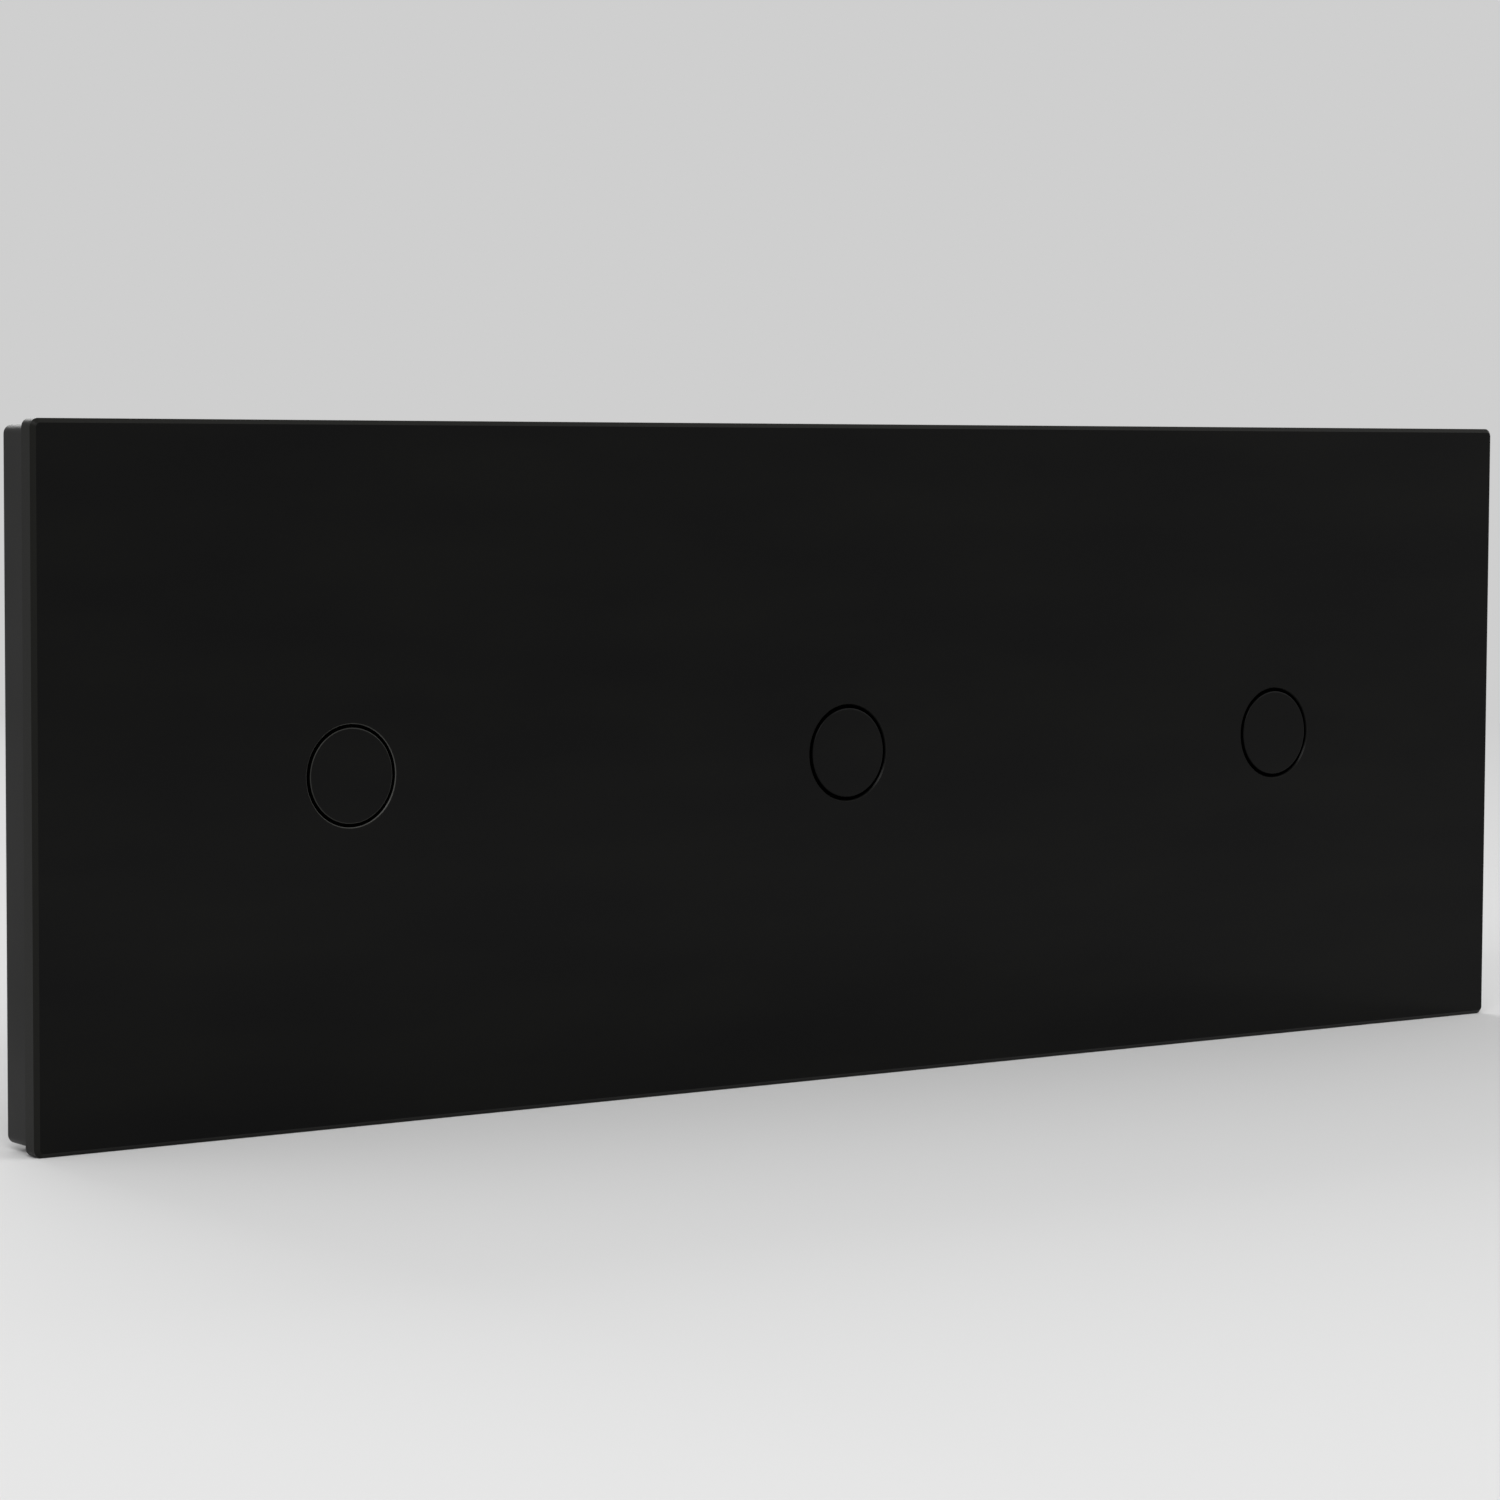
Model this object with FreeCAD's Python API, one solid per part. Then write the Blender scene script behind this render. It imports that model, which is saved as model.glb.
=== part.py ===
"""Three-gang flush push button switch with a black glass panel.

Y = 0 is the wall plane. The front faces -Y, X runs to the right and Z up. The origin lies on the
wall plane, on the middle gang's axis. All sizes are in millimetres.
"""
import FreeCAD
import Part
import math
import os

# Yokes of the gangs, round the wall box's screws
gang_count = 3
box_screw_spacing = 60.0
box_slot_width = 3.6
box_slot_length = 7.0
box_slot_edge = 1.8
yoke_thickness = 1.2
yoke_corner = 3.0
yoke_seat = 3.0
yoke_gap = 0.4
yoke_margin = 1.8

# Glass panel
glass_thickness = 3.0
glass_corner_radius = 1.0
glass_front_chamfer = 0.5
glass_rear_chamfer = 0.6
button_hole_radius = 5.85
button_hole_chamfer = 0.15

# Panel frame behind the glass
frame_depth = 5.2
frame_inset = 0.7
frame_corner_radius = 1.0
frame_rear_chamfer = 0.3
frame_rim = 2.2
frame_web = 1.8
window_clearance = 0.5
window_collar = 1.0
window_collar_clearance = 0.2
land_width = 1.8
tape_thickness = 0.3
tape_clearance = 0.2
tape_window_margin = 1.0

# Snap hooks of the frame and their slots in the yoke
hook_offset = 12.0
hook_width = 6.0
hook_thickness = 1.2
hook_set_back = 0.5
hook_barb = 0.8
hook_barb_flat = 0.4
hook_barb_lead = 1.1
hook_grip_clearance = 0.15
hook_slot_side_clearance = 0.4
hook_slot_edge_clearance = 0.3

# Insert cover in front of the yoke, with the legs that clip it to the base
cover_overhang = 1.0
cover_corner = 5.0
cover_depth = 2.7
cover_face = 1.4
cover_skirt = 1.6
sleeve_wall = 2.15
sleeve_reach = 2.0
leg_width = 8.0
leg_thickness = 1.2
leg_clearance = 0.5
leg_barb = 1.0
leg_barb_height = 1.4
lug_front = 2.5
lug_height = 2.0
lug_grip = 0.15

# Insert base behind the yoke
base_size = 44.0
base_corner = 6.0
base_wall = 1.8
base_floor = 2.0
base_rear_chamfer = 0.6
flange_thickness = 2.2
side_rib_offset = 11.0
side_rib_width = 1.2
side_rib_height = 0.6
side_rib_end = 4.0
side_rib_run_out = 1.2
rear_field_length = 26.0
rear_field_height = 14.0
rear_field_depth = 0.4

# Button cap
button_gap = 0.4
cap_chamfer = 0.15
cap_socket_depth = 1.0
cap_floor_clearance = 0.2

# Plunger
button_travel = 1.5
front_stem = 6.0
middle_stem = 5.0
rear_stem = 2.6
collar_margin = 0.25
collar_thickness = 1.2
slide_clearance = 0.05
stop_clearance = 0.1
shoulder_reach = 0.8
stem_tail = 0.8

# Return spring, of flat wire
return_spring_length = 4.7
spring_stem_clearance = 0.3
return_spring_wire = 0.5
return_spring_half_turns = 4

# Leaf spring between the plunger and the bridge
leaf_height = 3.0
leaf_width = 4.6
leaf_thickness = 0.3
leaf_crown = 5.2
leaf_foot_start = 7.0
leaf_foot_end = 8.6

# Guide carriage
guide_plate_thickness = 1.6
guide_width = 16.0
guide_leg = 1.2
guide_clearance = 0.15
ledge_width = 2.7

# Contact bridge and its clip
bridge_ratio = 0.6
bridge_half_length = 10.0
bridge_width = 6.0
bridge_thickness = 0.8
bridge_hole_clearance = 0.15
contact_offset = 8.0
contact_size = 3.2
contact_height = 0.7
contact_clearance = 0.02
clip_size = 5.2
clip_thickness = 0.6
clip_clearance = 0.05
neck_depth = 0.35

# Fixed contacts
strip_start = 5.0
strip_width = 6.0
strip_thickness = 0.8
pedestal_start = 6.0

# Terminal clamps
clamp_length = 9.8
clamp_width = 7.0
clamp_depth = 8.0
clamp_clearance = 0.15
pocket_rib = 1.2
wire_bore_radius = 1.6
wire_bore_depth = 8.0
wire_bore_cover = 1.3
wire_mouth = 4.6
wire_mouth_lead = 0.9
terminal_screw_set_back = 5.8
terminal_screw_radius = 1.7
terminal_tip_clearance = 0.2
thread_clearance = 0.05
terminal_head_radius = 2.8
terminal_head_height = 1.6
terminal_head_lift = 0.2
terminal_slot_width = 0.8
terminal_slot_depth = 0.8
access_hole_clearance = 0.4

# A cut corner's leg gets shorter by this much for each millimetre that the outline moves inwards
corner_shrink = 2 - math.sqrt(2)

# Edges are picked by their direction and place within these limits
along_y = 0.5
place_tolerance = 1e-6

# The corners of a square, as signs of its half side
square_corners = ((-1, -1), (1, -1), (1, 1), (-1, 1))

# Levels along Y, from the glass to the rear of the base
frame_front = -frame_depth
glass_front = frame_front - glass_thickness
web_rear = frame_front + frame_web
yoke_front = -yoke_thickness
cover_front = yoke_front - cover_depth
cap_rear = cover_front - cap_floor_clearance - button_travel
collar_front = sleeve_reach + stop_clearance
collar_rear = collar_front + collar_thickness
guide_front = collar_rear + return_spring_length
guide_rear = guide_front + guide_plate_thickness
shoulder = guide_rear + shoulder_reach
bridge_front = shoulder + leaf_height
bridge_rear = bridge_front + bridge_thickness
bridge_travel = button_travel * bridge_ratio
fixed_tip_front = bridge_rear + contact_height + bridge_travel + contact_clearance
strip_front = fixed_tip_front + contact_height
clamp_front = strip_front + strip_thickness
floor_front = clamp_front + clamp_depth
base_rear = floor_front + base_floor
clip_front = bridge_rear + clip_clearance
stem_end = clip_front + clip_thickness + stem_tail

# Outlines shared by pieces that fit each other
yoke_size = box_screw_spacing + box_slot_length + 2 * box_slot_edge
yoke_window = base_size - 2 * yoke_seat
gang_pitch = yoke_size + yoke_gap
gang_axes = [(place - (gang_count - 1) / 2) * gang_pitch for place in range(gang_count)]
panel_height = yoke_size + 2 * (yoke_margin + frame_rim + frame_inset)
panel_length = (gang_count - 1) * gang_pitch + panel_height
frame_length = panel_length - 2 * frame_inset
frame_height = panel_height - 2 * frame_inset
cover_size = base_size + 2 * cover_overhang
window_size = cover_size + 2 * window_clearance
cavity = base_size - 2 * base_wall
hook_inner = window_size / 2 + hook_set_back
hook_outer = hook_inner + hook_thickness
clamp_end = cavity / 2 - clamp_clearance
clamp_start = clamp_end - clamp_length
terminal_screw_offset = clamp_end - terminal_screw_set_back
wire_bore_level = clamp_front + wire_bore_cover + wire_bore_radius
terminal_tip = wire_bore_level + wire_bore_radius + terminal_tip_clearance
leg_outer = yoke_window / 2 - leg_clearance
leg_inner = leg_outer - leg_thickness
lug_rear = lug_front + lug_height
return_spring_inner = middle_stem / math.sqrt(2) + spring_stem_clearance
return_spring_radius = return_spring_inner + return_spring_wire / 2
collar_size = 2 * (return_spring_inner + return_spring_wire + collar_margin)


def vector(x, y, z):
    return FreeCAD.Vector(x, y, z)


def block(x_low, x_high, y_low, y_high, z_low, z_high):
    """A box given by its limits."""
    return Part.makeBox(x_high - x_low, y_high - y_low, z_high - z_low, vector(x_low, y_low, z_low))


def bar(width, height, y_low, y_high, x=0.0, z=0.0):
    """A rectangular bar along Y, centred on x and z."""
    return block(x - width / 2, x + width / 2, y_low, y_high, z - height / 2, z + height / 2)


def rod(radius, y_low, y_high, x=0.0, z=0.0):
    """A cylinder along Y."""
    return Part.makeCylinder(radius, y_high - y_low, vector(x, y_low, z), vector(0, 1, 0))


def cone(radius_low, radius_high, y_low, y_high, x=0.0, z=0.0):
    """A cone frustum along Y, with its radius at y_low given first."""
    return Part.makeCone(radius_low, radius_high, y_high - y_low, vector(x, y_low, z), vector(0, 1, 0))


def prism(points, y_low, y_high):
    """Extrudes a polygon of x, z points along Y."""
    corners = [vector(x, y_low, z) for x, z in points]
    face = Part.Face(Part.makePolygon(corners + corners[:1]))
    return face.extrude(vector(0, y_high - y_low, 0))


def cut_corner_slab(size, corner, y_low, y_high):
    """A square slab whose four corners are cut off at 45 degrees."""
    half = size / 2
    short = half - corner
    points = [(short, -half), (half, -short), (half, short), (short, half)]
    points += [(-x, -z) for x, z in points]
    return prism(points, y_low, y_high)


def rounded_slab(length, height, radius, y_low, y_high):
    """A rectangular slab with round corners."""
    slab = bar(length, height, y_low, y_high)
    upright = [edge for edge in slab.Edges if abs(edge.tangentAt(edge.FirstParameter).y) > along_y]
    return slab.makeFillet(radius, upright)


def slot(x, z, width, length, y_low, y_high):
    """A round-ended slot along X, cut through in Y."""
    straight = (length - width) / 2
    middle = bar(2 * straight, width, y_low, y_high, x, z)
    ends = [rod(width / 2, y_low, y_high, x + side * straight, z) for side in (-1, 1)]
    return middle.fuse(ends)


def edges_at(shape, level, outer_length, outer_height):
    """The edges that lie on one level and on the outline of a slab centred on the origin."""
    found = []
    for edge in shape.Edges:
        box = edge.BoundBox
        flat = abs(box.YMin - level) < place_tolerance and abs(box.YMax - level) < place_tolerance
        wide = max(abs(box.XMin), abs(box.XMax)) > outer_length / 2 - place_tolerance
        tall = max(abs(box.ZMin), abs(box.ZMax)) > outer_height / 2 - place_tolerance
        if flat and (wide or tall):
            found.append(edge)
    return found


def at_gangs(make):
    """One copy of a piece on each gang's axis."""
    copies = []
    for x in gang_axes:
        piece = make()
        piece.translate(vector(x, 0, 0))
        copies.append(piece)
    return copies


def glass_panel():
    """Toughened glass with ground edges and one drilled hole for each button."""
    glass = rounded_slab(panel_length, panel_height, glass_corner_radius, glass_front, frame_front)
    glass = glass.makeChamfer(glass_front_chamfer, edges_at(glass, glass_front, panel_length, panel_height))
    glass = glass.makeChamfer(glass_rear_chamfer, edges_at(glass, frame_front, panel_length, panel_height))
    for x in gang_axes:
        glass = glass.cut(rod(button_hole_radius, glass_front, frame_front, x))
        wide = button_hole_radius + button_hole_chamfer
        glass = glass.cut(cone(wide, button_hole_radius, glass_front, glass_front + button_hole_chamfer, x))
    return glass


def snap_hook(side_x, side_z):
    """A flexible leg behind the web, with a barb that catches the yoke's rear face."""
    grip = hook_grip_clearance
    profile = [
        (hook_inner, web_rear),
        (hook_outer, web_rear),
        (hook_outer, grip),
        (hook_outer + hook_barb, grip),
        (hook_outer + hook_barb, grip + hook_barb_flat),
        (hook_outer, grip + hook_barb_flat + hook_barb_lead),
        (hook_inner, grip + hook_barb_flat + hook_barb_lead),
    ]
    start = side_x * hook_offset - hook_width / 2
    corners = [vector(start, y, side_z * z) for z, y in profile]
    face = Part.Face(Part.makePolygon(corners + corners[:1]))
    return face.extrude(vector(hook_width, 0, 0))


def panel_frame():
    """Moulded frame: a rim round a web with one window for each gang, and its snap hooks."""
    frame = rounded_slab(frame_length, frame_height, frame_corner_radius, frame_front, 0)
    frame = frame.makeChamfer(frame_rear_chamfer, edges_at(frame, 0, frame_length, frame_height))
    inner_length = frame_length - 2 * frame_rim
    inner_height = frame_height - 2 * frame_rim
    frame = frame.cut(bar(inner_length, inner_height, web_rear, 0))
    pocket_length = frame_length - 2 * land_width
    pocket_height = frame_height - 2 * land_width
    frame = frame.cut(bar(pocket_length, pocket_height, frame_front, frame_front + tape_thickness))
    collar_size_outside = window_size + 2 * window_collar
    collar_end = yoke_front - window_collar_clearance
    for x in gang_axes:
        frame = frame.fuse(bar(collar_size_outside, collar_size_outside, web_rear, collar_end, x))
        frame = frame.cut(bar(window_size, window_size, frame_front, collar_end, x))
        for side_x in (-1, 1):
            for side_z in (-1, 1):
                hook = snap_hook(side_x, side_z)
                hook.translate(vector(x, 0, 0))
                frame = frame.fuse(hook)
    return frame.removeSplitter()


def glass_adhesive():
    """Die-cut double-sided tape that fills the frame's pocket and holds the glass."""
    margin = 2 * (land_width + tape_clearance)
    tape = bar(frame_length - margin, frame_height - margin, frame_front, frame_front + tape_thickness)
    opening = window_size + 2 * tape_window_margin
    for x in gang_axes:
        tape = tape.cut(bar(opening, opening, frame_front, frame_front + tape_thickness, x))
    return tape


def yoke():
    """Pressed steel yoke, screwed to the wall box through its two slots."""
    plate = cut_corner_slab(yoke_size, yoke_corner, yoke_front, 0)
    plate = plate.cut(bar(yoke_window, yoke_window, yoke_front, 0))
    for side in (-1, 1):
        place = side * box_screw_spacing / 2
        plate = plate.cut(slot(place, 0, box_slot_width, box_slot_length, yoke_front, 0))
    slot_width = hook_width + 2 * hook_slot_side_clearance
    slot_inner = hook_inner - hook_slot_edge_clearance
    slot_outer = hook_outer + hook_slot_edge_clearance
    for side_x in (-1, 1):
        for side_z in (-1, 1):
            middle = side_z * (slot_inner + slot_outer) / 2
            opening = bar(slot_width, slot_outer - slot_inner, yoke_front, 0, side_x * hook_offset, middle)
            plate = plate.cut(opening)
    return plate


def clip_leg(side):
    """A flexible leg through the yoke's window, with a barb behind the base's lug."""
    barb_front = lug_rear + lug_grip
    barb_rear = barb_front + leg_barb_height
    profile = [
        (leg_inner, cover_front + cover_face),
        (leg_outer, cover_front + cover_face),
        (leg_outer, barb_front),
        (leg_outer + leg_barb, barb_front),
        (leg_outer, barb_rear),
        (leg_inner, barb_rear),
    ]
    corners = [vector(side * x, y, -leg_width / 2) for x, y in profile]
    face = Part.Face(Part.makePolygon(corners + corners[:1]))
    return face.extrude(vector(0, 0, leg_width))


def insert_cover():
    """Moulded cover in front of the yoke, with the square sleeve that guides the plunger."""
    cover = cut_corner_slab(cover_size, cover_corner, cover_front, yoke_front)
    inner_corner = cover_corner - cover_skirt * corner_shrink
    hollow = cut_corner_slab(cover_size - 2 * cover_skirt, inner_corner, cover_front + cover_face, yoke_front)
    cover = cover.cut(hollow)
    bore = front_stem + 2 * slide_clearance
    sleeve = bore + 2 * sleeve_wall
    cover = cover.fuse(bar(sleeve, sleeve, cover_front + cover_face, sleeve_reach))
    for side in (-1, 1):
        cover = cover.fuse(clip_leg(side))
    return cover.cut(bar(bore, bore, cover_front, sleeve_reach)).removeSplitter()


def side_ribs():
    """Two low ribs along each wall without wire holes, which run out at their rear ends."""
    outside = base_size / 2
    end = base_rear - side_rib_end
    profile = [
        (outside - base_wall / 2, flange_thickness / 2),
        (outside + side_rib_height, flange_thickness / 2),
        (outside + side_rib_height, end - side_rib_run_out),
        (outside, end),
        (outside - base_wall / 2, end),
    ]
    ribs = []
    for side_x in (-1, 1):
        for side_z in (-1, 1):
            start = side_z * side_rib_offset - side_rib_width / 2
            corners = [vector(side_x * x, y, start) for x, y in profile]
            face = Part.Face(Part.makePolygon(corners + corners[:1]))
            ribs.append(face.extrude(vector(0, 0, side_rib_width)))
    return ribs


def wire_funnel(side):
    """The square way through the base's wall to a wire bore, with a flared mouth."""
    outside = side * base_size / 2
    throat = side * (base_size / 2 - wire_mouth_lead)
    inside = side * (cavity / 2)
    loops = []
    for z, half in ((outside, wire_mouth / 2 + wire_mouth_lead), (throat, wire_mouth / 2)):
        corners = [vector(a * half, wire_bore_level + b * half, z) for a, b in square_corners]
        loops.append(Part.makePolygon(corners + corners[:1]))
    lead = Part.makeLoft(loops, True, True)
    low, high = sorted((throat, inside))
    half = wire_mouth / 2
    return lead.fuse(block(-half, half, wire_bore_level - half, wire_bore_level + half, low, high))


def base_body():
    """The base's outside: a body with cut corners, a flange at the yoke, and ribs on two sides."""
    body = cut_corner_slab(base_size, base_corner, 0, base_rear)
    rear_edges = [edge for edge in body.Edges if edge.BoundBox.YMin > base_rear - place_tolerance]
    body = body.makeChamfer(base_rear_chamfer, rear_edges)
    flange = cut_corner_slab(cover_size, cover_corner, 0, flange_thickness)
    return body.fuse([flange] + side_ribs())


def base_inside():
    """What stands inside the base: lugs for the cover's legs, ledges for the guide, and terminal pockets."""
    inside = []
    rib_middle = clamp_width / 2 + clamp_clearance + pocket_rib / 2
    wall_inside = cavity / 2
    for side in (-1, 1):
        lug = wall_inside - leg_outer - lug_grip
        inside.append(bar(lug, leg_width, lug_front, lug_rear, side * (wall_inside - lug / 2)))
        ledge_middle = side * (wall_inside - ledge_width / 2)
        inside.append(bar(guide_width, ledge_width, guide_rear, strip_front, 0, ledge_middle))
        pedestal_end = clamp_start - clamp_clearance
        pedestal_middle = side * (pedestal_start + pedestal_end) / 2
        pedestal_height = pedestal_end - pedestal_start
        inside.append(bar(strip_width, pedestal_height, clamp_front, floor_front, 0, pedestal_middle))
        rib_height = wall_inside - clamp_start
        rib_place = side * (wall_inside + clamp_start) / 2
        for rib_side in (-1, 1):
            x = rib_side * rib_middle
            inside.append(bar(pocket_rib, rib_height, strip_front, floor_front, x, rib_place))
    return inside


def insert_base():
    """Moulded base that carries the guide, the fixed contacts and the terminals."""
    outer = base_body()
    inner_corner = base_corner - base_wall * corner_shrink
    base = outer.cut(cut_corner_slab(cavity, inner_corner, 0, floor_front))
    base = base.fuse([piece.common(outer) for piece in base_inside()])
    field_front = base_rear - rear_field_depth
    base = base.cut(bar(rear_field_length, rear_field_height, field_front, base_rear))
    for side in (-1, 1):
        base = base.cut(wire_funnel(side))
        access = terminal_head_radius + access_hole_clearance
        base = base.cut(rod(access, floor_front, base_rear, 0, side * terminal_screw_offset))
    return base.removeSplitter()


def guide_carriage():
    """Moulded U-shaped guide, held between the yoke and the base's ledges."""
    height = cavity - 2 * guide_clearance
    guide = bar(guide_width, height, 0, guide_rear)
    guide = guide.cut(bar(guide_width, height - 2 * guide_leg, 0, guide_front))
    bore = middle_stem + 2 * slide_clearance
    return guide.cut(bar(bore, bore, guide_front, guide_rear))


def button_cap():
    """Gloss black cap, flush with the glass, with a square socket for the plunger."""
    radius = button_hole_radius - button_gap
    cap = rod(radius, glass_front + cap_chamfer, cap_rear)
    cap = cap.fuse(cone(radius - cap_chamfer, radius, glass_front, glass_front + cap_chamfer))
    socket = front_stem + 2 * slide_clearance
    return cap.cut(bar(socket, socket, cap_rear - cap_socket_depth, cap_rear)).removeSplitter()


def plunger():
    """Moulded square plunger with the stop collar and the necked tail for the clip."""
    stem = bar(front_stem, front_stem, cap_rear - cap_socket_depth, collar_front)
    stem = stem.fuse(bar(collar_size, collar_size, collar_front, collar_rear))
    stem = stem.fuse(bar(middle_stem, middle_stem, collar_rear, shoulder))
    stem = stem.fuse(bar(rear_stem, rear_stem, shoulder, stem_end))
    for side in (-1, 1):
        middle = side * (rear_stem - neck_depth) / 2
        neck_rear = clip_front + clip_thickness + clip_clearance
        notch = bar(neck_depth, rear_stem, bridge_rear, neck_rear, middle)
        stem = stem.cut(notch)
    return stem.removeSplitter()


def contact_bridge():
    """Copper strip that joins the two fixed contacts, with a silver tip at each end."""
    bridge = bar(bridge_width, 2 * bridge_half_length, bridge_front, bridge_rear)
    hole = rear_stem + 2 * bridge_hole_clearance
    bridge = bridge.cut(bar(hole, hole, bridge_front, bridge_rear))
    for side in (-1, 1):
        place = side * contact_offset
        tip = bar(contact_size, contact_size, bridge_rear, bridge_rear + contact_height, 0, place)
        bridge = bridge.fuse(tip)
    return bridge


def stem_clip():
    """Spring steel clip pushed sideways into the plunger's neck behind the bridge."""
    clip = bar(clip_size, clip_size, clip_front, clip_front + clip_thickness)
    neck = rear_stem - 2 * neck_depth + 2 * clip_clearance
    closed_end = -rear_stem / 2 - clip_clearance
    opening = block(-neck / 2, neck / 2, clip_front, clip_front + clip_thickness, closed_end, clip_size / 2)
    return clip.cut(opening)


def biarc(start, start_tangent, end, end_tangent):
    """Two arcs that join two points and keep the given directions there."""
    across = end - start
    total = start_tangent + end_tangent
    spread = 2 * (1 - start_tangent.dot(end_tangent))
    reach = across.dot(total)
    length = (-reach + math.sqrt(reach ** 2 + spread * across.dot(across))) / spread
    joint = (start + end + (start_tangent - end_tangent) * length) * 0.5
    arcs = []
    corners = [(start, start + start_tangent * length, joint), (joint, end - end_tangent * length, end)]
    for first, corner, last in corners:
        middle = (first + last) * 0.5
        rise = corner - middle
        half_chord = (last - first).Length / 2
        radius = length * half_chord / rise.Length
        sagitta = radius * (1 - half_chord / length)
        rise.normalize()
        arcs.append(Part.Arc(first, middle + rise * sagitta, last).toShape())
    return arcs


def return_spring():
    """Flat wire wound round the plunger: a square section carried along biarcs of half a turn."""
    radius = return_spring_radius
    half_wire = return_spring_wire / 2
    first = collar_rear + half_wire
    climb = (return_spring_length - return_spring_wire) / (return_spring_half_turns * math.pi)
    places = []
    for half_turn in range(return_spring_half_turns + 1):
        angle = math.pi * half_turn
        point = vector(radius * math.cos(angle), first + climb * angle, radius * math.sin(angle))
        tangent = vector(-radius * math.sin(angle), climb, radius * math.cos(angle))
        tangent.normalize()
        places.append((point, tangent))
    arcs = []
    for (start, start_tangent), (end, end_tangent) in zip(places[:-1], places[1:]):
        arcs += biarc(start, start_tangent, end, end_tangent)
    corners = [vector(radius + a * half_wire, first + b * half_wire, 0) for a, b in square_corners]
    coil = Part.BRepOffsetAPI.MakePipeShell(Part.Wire(arcs))
    coil.setBiNormalMode(vector(0, 1, 0))
    coil.add(Part.makePolygon(corners + corners[:1]))
    coil.build()
    coil.makeSolid()
    return coil.shape()


def contact_spring():
    """Pressed bronze leaf that bears on the bridge over both contacts when the plunger overtravels."""
    crown = leaf_crown / 2
    low = bridge_front - leaf_thickness
    right = [(crown, shoulder), (leaf_foot_start, low), (leaf_foot_end, low)]
    front_side = [(-z, y) for z, y in reversed(right)] + right
    rear_side = [(z, y + leaf_thickness) for z, y in reversed(front_side)]
    corners = [vector(-leaf_width / 2, y, z) for z, y in front_side + rear_side]
    face = Part.Face(Part.makePolygon(corners + corners[:1]))
    leaf = face.extrude(vector(leaf_width, 0, 0))
    hole = rear_stem + 2 * bridge_hole_clearance
    return leaf.cut(bar(hole, hole, shoulder, shoulder + leaf_thickness))


def fixed_contacts():
    """Two brass strips, each from a contact under the bridge to its terminal clamp."""
    strips = []
    strip_end = cavity / 2 - clamp_clearance
    for side in (-1, 1):
        middle = side * (strip_start + strip_end) / 2
        strip = bar(strip_width, strip_end - strip_start, strip_front, clamp_front, 0, middle)
        place = side * contact_offset
        tip = bar(contact_size, contact_size, fixed_tip_front, strip_front, 0, place)
        strips.append(strip.fuse(tip))
    return strips


def terminal_clamps():
    """Two brass blocks, each with a wire bore from the side and a threaded hole from the rear."""
    clamps = []
    for side in (-1, 1):
        middle = side * (clamp_start + clamp_end) / 2
        clamp = bar(clamp_width, clamp_end - clamp_start, clamp_front, floor_front, 0, middle)
        mouth = vector(0, wire_bore_level, side * clamp_end)
        bore = Part.makeCylinder(wire_bore_radius, wire_bore_depth, mouth, vector(0, 0, -side))
        thread = rod(
            terminal_screw_radius + thread_clearance,
            wire_bore_level,
            floor_front,
            0,
            side * terminal_screw_offset,
        )
        clamps.append(clamp.cut(bore).cut(thread))
    return clamps


def terminal_screws():
    """The two slotted clamp screws, standing open, with their heads in the base's access holes."""
    screws = []
    head_front = floor_front + terminal_head_lift
    head_rear = head_front + terminal_head_height
    for side in (-1, 1):
        place = side * terminal_screw_offset
        head = rod(terminal_head_radius, head_front, head_rear, 0, place)
        shank = rod(terminal_screw_radius, terminal_tip, head_front, 0, place)
        recess_front = head_rear - terminal_slot_depth
        recess = bar(2 * terminal_head_radius, terminal_slot_width, recess_front, head_rear, 0, place)
        screws.append(head.fuse(shank).cut(recess))
    return screws


def export(name, shape):
    shape.exportStep("parts/" + name + ".step")


os.makedirs("parts", exist_ok=True)

export("glass_panel", glass_panel())
export("glass_adhesive", glass_adhesive())
export("panel_frame", panel_frame())

single_pieces = {
    "button_cap": button_cap,
    "plunger": plunger,
    "return_spring": return_spring,
    "guide_carriage": guide_carriage,
    "contact_spring": contact_spring,
    "contact_bridge": contact_bridge,
    "stem_clip": stem_clip,
    "yoke": yoke,
    "insert_cover": insert_cover,
    "insert_base": insert_base,
}
for name, make in single_pieces.items():
    for number, piece in enumerate(at_gangs(make), start=1):
        export(f"{name}_{number}", piece)

grouped_pieces = {
    "fixed_contacts": fixed_contacts,
    "terminal_clamps": terminal_clamps,
    "terminal_screws": terminal_screws,
}
for name, make in grouped_pieces.items():
    export(name, Part.makeCompound(at_gangs(lambda: Part.makeCompound(make()))))
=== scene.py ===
"""Three-gang push button switch with a black glass panel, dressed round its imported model.

Lengths are in metres unless a name ends in _mm. The wall plane is Y = 0, the front faces -Y and Z is up.
"""
import math

import bmesh
import bpy
import numpy as np
from mathutils import Matrix, Vector


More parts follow.
